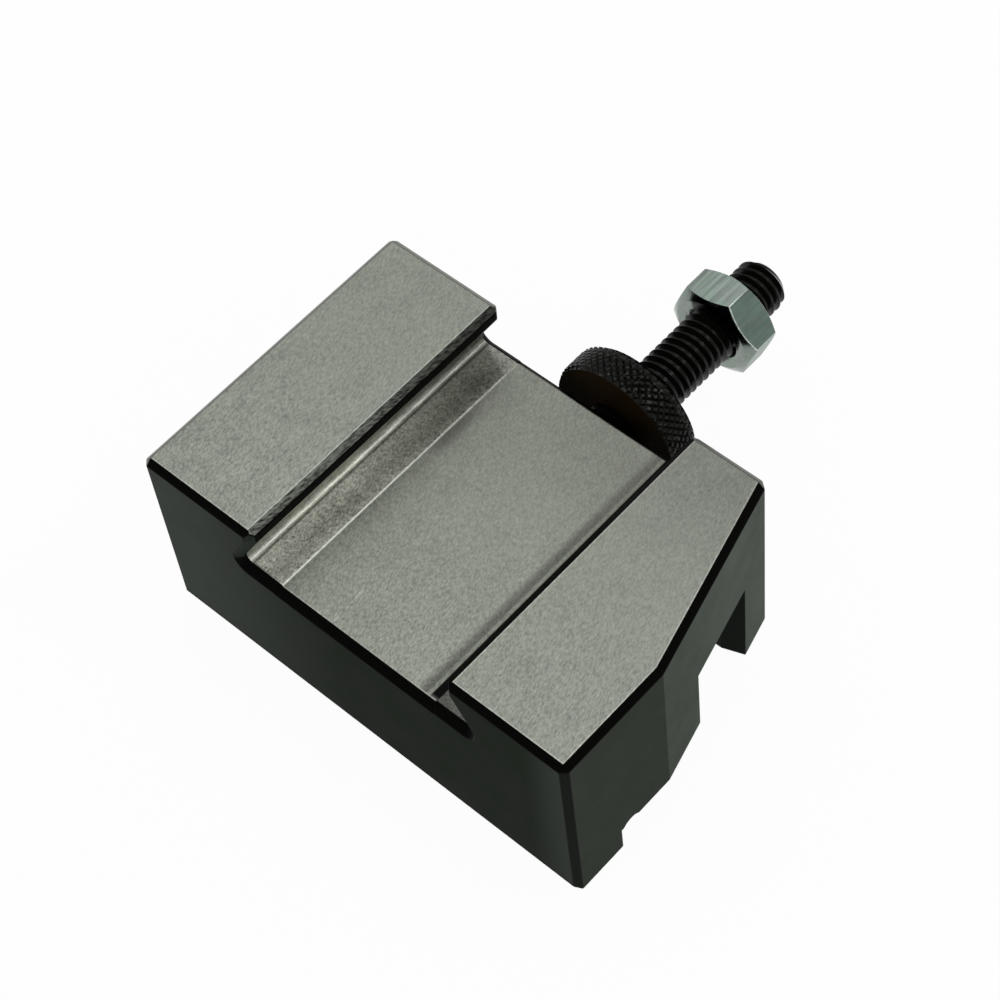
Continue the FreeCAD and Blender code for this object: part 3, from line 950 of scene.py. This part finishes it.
def knurled_nut_piece(settings):
    """The knurled nut: a lattice of raised diamonds between plain rims and faces."""
    low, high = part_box("knurled_height_nut")
    outer = (high.x - low.x) / 2
    base = outer - settings.knurl_depth
    first = low.y + settings.rim_margin
    last = high.y - settings.rim_margin
    bm = bmesh.new()
    upright = Matrix.Rotation(math.radians(-90), 4, "X")
    ring = bmesh.ops.create_circle(bm, segments=settings.diamonds, radius=base, matrix=upright)
    bmesh.ops.translate(bm, verts=ring["verts"], vec=(0, first, 0))
    front = bm.edges[:]
    edges = front
    for _ in range(settings.rows):
        corners, edges = drawn_on(bm, edges)
        bmesh.ops.translate(bm, verts=corners, vec=(0, (last - first) / settings.rows, 0))
    back = edges
    squares = [edge for edge in bm.edges if not edge.is_boundary]
    bmesh.ops.poke(bm, faces=bm.faces[:])
    bmesh.ops.dissolve_edges(bm, edges=squares, use_verts=False)
    for vertex in bm.verts:
        near_inset = settings.near_chamfer - (vertex.co.y - low.y)
        far_inset = settings.far_chamfer - (high.y - vertex.co.y)
        put_at_radius(vertex, base - max(0.0, near_inset, far_inset))
    face_outward(bm)
    diamonds = [face for face in bm.faces if len(face.verts) == 4]
    bmesh.ops.inset_individual(
        bm, faces=diamonds, thickness=settings.groove, depth=settings.knurl_depth, use_even_offset=True
    )
    bore = settings.bore / 2
    sides = (
        (front, low.y, settings.near_chamfer, settings.near_countersink, 1),
        (back, high.y, settings.far_chamfer, settings.far_countersink, -1),
    )
    for rim, face_place, chamfer, countersink, inward in sides:
        edges = rim
        stations = (
            (outer - chamfer, face_place),
            (bore + countersink, face_place),
            (bore, face_place + inward * countersink),
        )
        for radius, place in stations:
            corners, edges = drawn_on(bm, edges)
            for vertex in corners:
                put_at_radius(vertex, radius)
                vertex.co.y = place
        if inward > 0:
            front_bore = edges
    bmesh.ops.bridge_loops(bm, edges=front_bore + edges)
    face_outward(bm)
    move_to_axis(bm, low, high)
    bm.normal_update()
    knurl, near_face, far_face = range(3)
    for face in bm.faces:
        face.material_index = knurl
        if abs(face.normal.y) > 0.9:
            face.material_index = near_face if face.normal.y < 0 else far_face
    finishes = [
        glinting_knurl("black_knurled_nut", settings.steel, settings.glint),
        plain_oxide("black_near_face", settings.face_steel, 0.5, 0.4, 0.02),
        plain_oxide("black_far_face", settings.steel, 0.3, 0.5, 0.2),
    ]
    return finish_piece(
        bm, "height_nut_knurl", "height_nut", ["knurled_height_nut"], finishes, 20
    )


def lock_nut_piece(settings):
    """The hexagon nut: a turned blank with its six flats planed off."""
    low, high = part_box("lock_nut")
    bore = settings.bore / 2
    mouth = bore + settings.countersink
    face = settings.face / 2
    over = settings.flats / 2 / math.cos(math.radians(30)) + 0.3 * MM
    slope = (over - face) * math.tan(settings.chamfer_angle)
    points = [
        (bore, low.y + settings.countersink),
        (mouth, low.y),
        (face, low.y),
        (over, low.y + slope),
        (over, high.y - slope),
        (face, high.y),
        (mouth, high.y),
        (bore, high.y - settings.countersink),
    ]
    bm = turned_blank(points, LOCK_NUT_STEPS, settings.turn)
    for side in range(6):
        turn = settings.turn + math.radians(30 + 60 * side)
        facing = Vector((math.cos(turn), 0, math.sin(turn)))
        plane_off(bm, facing * (settings.flats / 2), facing)
    face_outward(bm)
    corners = set(break_edges(bm, edges_sharper_than(bm, SHARP_ANGLE), settings.edge_radius))
    bm.normal_update()
    # The flats turned towards +X take a painted shaded copy of the zinc, and the broken edges beside
    # the right flat a painted highlight.
    bright, near_side, shaded_flat, corner_highlight = range(4)
    for face in bm.faces:
        out = math.hypot(*face.calc_center_median().xz)
        turned_away = shaded_flat if face.normal.x > 0.5 else bright
        face.material_index = near_side if face.normal.y < -0.5 else turned_away
        beside_flat = face.normal.x > 0.1 and face.normal.z > 0.3 and -0.85 < face.normal.y < 0.2
        if face in corners and out > settings.face / 2 and beside_flat:
            face.material_index = corner_highlight
    move_to_axis(bm, low, high)
    finishes = [
        zinc_plate("zinc_plated_flats", settings.zinc, 0.28, 1.4),
        zinc_plate("zinc_plated_face", settings.face_zinc, 0.2, 0.8, stud_reflection=True),
        zinc_plate("duller_zinc_flats", settings.shaded_zinc, 0.34, 0.6),
        zinc_plate("polished_zinc_corners", settings.highlight_zinc, 0.3, 1.6),
    ]
    return finish_piece(
        bm, "lock_nut_hexagon", "lock_nut", ["lock_nut"], finishes, 25
    )


def clamp_piece(settings):
    """The bar that presses the blade into its seat."""
    bm = merged_copy("blade_clamp")
    break_edges(bm, edges_sharper_than(bm, SHARP_ANGLE), settings.edge_radius)
    finishes = [plain_oxide("milled_clamp", settings.steel, 0.42, 0.6)]
    return finish_piece(
        bm, "blade_clamp_bar", "clamp", ["blade_clamp"], finishes
    )


def screw_piece(settings, side, node, body):
    """A socket head screw, head down, with its thread pointing up."""
    low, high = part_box(node)
    head = (high.x - low.x) / 2
    thread = settings.screw_diameter / 2
    tall = high.z - low.z
    depth = settings.screw_thread_depth
    bm = cut_thread(settings.head_height, tall, thread, depth, settings.screw_pitch, SCREW_STEPS)
    taper_end(bm, tall, thread, depth)
    mouth = settings.socket_flats * 0.66
    drill_tip = 0.05 * MM
    rim = bmesh.new()
    profile = draw_profile(
        rim,
        [
            (0, settings.head_height),
            (head - settings.head_chamfer / 2, settings.head_height),
            (head, settings.head_height - settings.head_chamfer / 2),
            (head, settings.head_chamfer),
            (head - settings.head_chamfer, 0),
            (mouth, 0),
        ],
    )
    spin_round(rim, profile, HEAD_STEPS)
    weld(rim)
    edges = [edge for edge in rim.edges if edge.is_boundary]
    sections = (
        (0, 0, settings.socket_flats / 2),
        (0, settings.socket_depth, settings.socket_flats / 2),
        (1, settings.socket_depth + settings.socket_flats / 4, drill_tip),
    )
    for round_off, place, half_flats in sections:
        corners, edges = drawn_on(rim, edges)
        for vertex in corners:
            turn = math.atan2(vertex.co.z, vertex.co.x)
            sixth = math.radians(60)
            off_flat = (turn % sixth) - sixth / 2
            out = half_flats if round_off else half_flats / math.cos(off_flat)
            vertex.co = (out * math.cos(turn), place, out * math.sin(turn))
    bmesh.ops.edgeloop_fill(rim, edges=edges)
    face_outward(rim)
    head_mesh = bpy.data.meshes.new("screw_head_" + side)
    rim.to_mesh(head_mesh)
    rim.free()
    bm.from_mesh(head_mesh)
    bpy.data.meshes.remove(head_mesh)
    upright = Matrix.Rotation(math.radians(90), 3, "X")
    bmesh.ops.rotate(bm, cent=(0, 0, 0), matrix=upright, verts=bm.verts[:])
    middle = (low + high) / 2
    bmesh.ops.translate(bm, verts=bm.verts[:], vec=(middle.x, middle.y, low.z))
    finishes = [plain_oxide("black_screw_" + side, settings.screw_steel, 0.35, 0.5)]
    return finish_piece(bm, "clamp_screw_thread_" + side, body, [node], finishes)


def white_to_the_eye(tree, plain, white_share):
    """Adds white to what the camera and mirror-like surfaces see, and leaves the light as it is."""
    path = tree.nodes.new("ShaderNodeLightPath")
    seen = path.outputs["Is Camera Ray"]
    for kind in ("Is Glossy Ray", "Is Transmission Ray"):
        either = tree.nodes.new("ShaderNodeMath")
        either.operation = "MAXIMUM"
        tree.links.new(seen, either.inputs[0])
        tree.links.new(path.outputs[kind], either.inputs[1])
        seen = either.outputs[0]
    share = tree.nodes.new("ShaderNodeMath")
    share.operation = "MULTIPLY"
    share.inputs[1].default_value = white_share
    tree.links.new(seen, share.inputs[0])
    mix = tree.nodes.new("ShaderNodeMixShader")
    tree.links.new(share.outputs[0], mix.inputs[0])
    tree.links.new(plain, mix.inputs[1])
    return mix


def lay_floor(settings):
    """A pale floor that the camera sees as white, with the holder's shadow on it."""
    bm = bmesh.new()
    bmesh.ops.create_grid(bm, x_segments=1, y_segments=1, size=settings.floor_size / 2)
    mesh = bpy.data.meshes.new("pale_floor")
    bm.to_mesh(mesh)
    bm.free()
    material = bpy.data.materials.new("pale_floor")
    material.use_nodes = True
    tree = material.node_tree
    tree.nodes.clear()
    matt = tree.nodes.new("ShaderNodeBsdfDiffuse")
    matt.inputs["Color"].default_value = (0.9, 0.9, 0.9, 1)
    glow = tree.nodes.new("ShaderNodeEmission")
    mix = white_to_the_eye(tree, matt.outputs[0], FLOOR_WHITE)
    tree.links.new(glow.outputs[0], mix.inputs[2])
    output = tree.nodes.new("ShaderNodeOutputMaterial")
    tree.links.new(mix.outputs[0], output.inputs[0])
    mesh.materials.append(material)
    floor = bpy.data.objects.new("pale_floor", mesh)
    floor.location.z = -FLOOR_GAP
    bpy.context.scene.collection.objects.link(floor)


def light_world(level):
    """Even light from all round, with white behind the holder."""
    world = bpy.data.worlds.new("even_light")
    world.use_nodes = True
    tree = world.node_tree
    tree.nodes.clear()
    plain = tree.nodes.new("ShaderNodeBackground")
    plain.inputs["Strength"].default_value = level
    white = tree.nodes.new("ShaderNodeBackground")
    path = tree.nodes.new("ShaderNodeLightPath")
    mix = tree.nodes.new("ShaderNodeMixShader")
    tree.links.new(path.outputs["Is Camera Ray"], mix.inputs[0])
    tree.links.new(plain.outputs[0], mix.inputs[1])
    tree.links.new(white.outputs[0], mix.inputs[2])
    for shade in (plain, white):
        shade.inputs["Color"].default_value = (1, 1, 1, 1)
    output = tree.nodes.new("ShaderNodeOutputWorld")
    tree.links.new(mix.outputs[0], output.inputs[0])
    bpy.context.scene.world = world


def hang_lamp(name, place, aim, size, power):
    """A square soft lamp that points at the aim."""
    lamp = bpy.data.lights.new(name, "AREA")
    lamp.size = size
    lamp.energy = power
    hung = bpy.data.objects.new(name, lamp)
    hung.location = place
    hung.rotation_euler = (Vector(aim) - Vector(place)).to_track_quat("-Z", "Y").to_euler()
    bpy.context.scene.collection.objects.link(hung)


def aim_camera(settings):
    """Stands the camera where the picture was taken from."""
    turn, rise, roll = settings.azimuth, settings.elevation, settings.roll
    back = Vector(
        (math.sin(turn) * math.cos(rise), -math.cos(turn) * math.cos(rise), math.sin(rise))
    )
    level = Vector((math.cos(turn), math.sin(turn), 0))
    steep = back.cross(level)
    right = level * math.cos(roll) + steep * math.sin(roll)
    up = steep * math.cos(roll) - level * math.sin(roll)
    pose = Matrix((right, up, back)).transposed().to_4x4()
    pose.translation = Vector(settings.camera_place)
    lens = bpy.data.cameras.new("bench_camera")
    lens.lens = settings.lens
    lens.shift_x = settings.shift_right
    lens.shift_y = settings.shift_up
    lens.clip_start = 0.01
    camera = bpy.data.objects.new("bench_camera", lens)
    camera.matrix_world = pose
    bpy.context.scene.collection.objects.link(camera)
    bpy.context.scene.camera = camera


class HolderBlock(bpy.types.Operator):
    """Make the holder's block."""

    bl_idname = "toolholder.block"
    bl_label = "Holder Block"

    def execute(self, context):
        block_piece(context.scene.holder_block)
        return {"FINISHED"}


class HolderStud(bpy.types.Operator):
    """Make the threaded height stud."""

    bl_idname = "toolholder.stud"
    bl_label = "Height Stud"

    def execute(self, context):
        stud_piece(context.scene.holder_stud)
        return {"FINISHED"}


class HolderKnurledNut(bpy.types.Operator):
    """Make the knurled height nut."""

    bl_idname = "toolholder.knurled_nut"
    bl_label = "Knurled Height Nut"

    def execute(self, context):
        knurled_nut_piece(context.scene.holder_knurled_nut)
        return {"FINISHED"}


class HolderLockNut(bpy.types.Operator):
    """Make the zinc-plated lock nut."""

    bl_idname = "toolholder.lock_nut"
    bl_label = "Lock Nut"

    def execute(self, context):
        lock_nut_piece(context.scene.holder_lock_nut)
        return {"FINISHED"}


class HolderClamp(bpy.types.Operator):
    """Make the blade clamp."""

    bl_idname = "toolholder.clamp"
    bl_label = "Blade Clamp"

    def execute(self, context):
        clamp_piece(context.scene.holder_clamp)
        return {"FINISHED"}


class HolderScrews(bpy.types.Operator):
    """Make the two clamp screws."""

    bl_idname = "toolholder.screws"
    bl_label = "Clamp Screws"

    def execute(self, context):
        for side in ("left", "right"):
            screw_piece(context.scene.holder_clamp, side, "clamp_screw_" + side, side + "_screw")
        return {"FINISHED"}


class HolderStudio(bpy.types.Operator):
    """Set up the floor, the light and the camera."""

    bl_idname = "toolholder.studio"
    bl_label = "Studio"

    def execute(self, context):
        settings = context.scene.holder_studio
        context.scene.view_settings.view_transform = "Standard"
        lay_floor(settings)
        light_world(settings.world_level)
        middle = (CAD_BOX[0] + CAD_BOX[1]) / 2
        for name, offset, side in LAMPS:
            hang_lamp(name, middle + Vector(offset), middle, side, getattr(settings, name))
        aim_camera(settings)
        return {"FINISHED"}


OPERATORS = (
    HolderBlock,
    HolderStud,
    HolderKnurledNut,
    HolderLockNut,
    HolderClamp,
    HolderScrews,
    HolderStudio,
)


class HolderPanel(bpy.types.Panel):
    """The holder's pieces, in the order in which they are made."""

    bl_idname = "VIEW3D_PT_tool_holder"
    bl_label = "Parting Tool Holder"
    bl_space_type = "VIEW_3D"
    bl_region_type = "UI"
    bl_category = "Tool Holder"

    def draw(self, context):
        for operator in OPERATORS:
            self.layout.operator(operator.bl_idname)


def register():
    """Registers the settings, the operators and the panel."""
    for name, group in SETTINGS.items():
        bpy.utils.register_class(group)
        setattr(bpy.types.Scene, name, PointerProperty(type=group))
    for part in (*OPERATORS, HolderPanel):
        bpy.utils.register_class(part)


def unregister():
    """Takes the panel, the operators and the settings away again."""
    for part in reversed((*OPERATORS, HolderPanel)):
        bpy.utils.unregister_class(part)
    for name, group in SETTINGS.items():
        delattr(bpy.types.Scene, name)
        bpy.utils.unregister_class(group)


def main():
    """Makes every piece and the studio."""
    register()
    bpy.ops.toolholder.block()
    bpy.ops.toolholder.stud()
    bpy.ops.toolholder.knurled_nut()
    bpy.ops.toolholder.lock_nut()
    bpy.ops.toolholder.clamp()
    bpy.ops.toolholder.screws()
    bpy.ops.toolholder.studio()


if __name__ == "__main__":
    main()
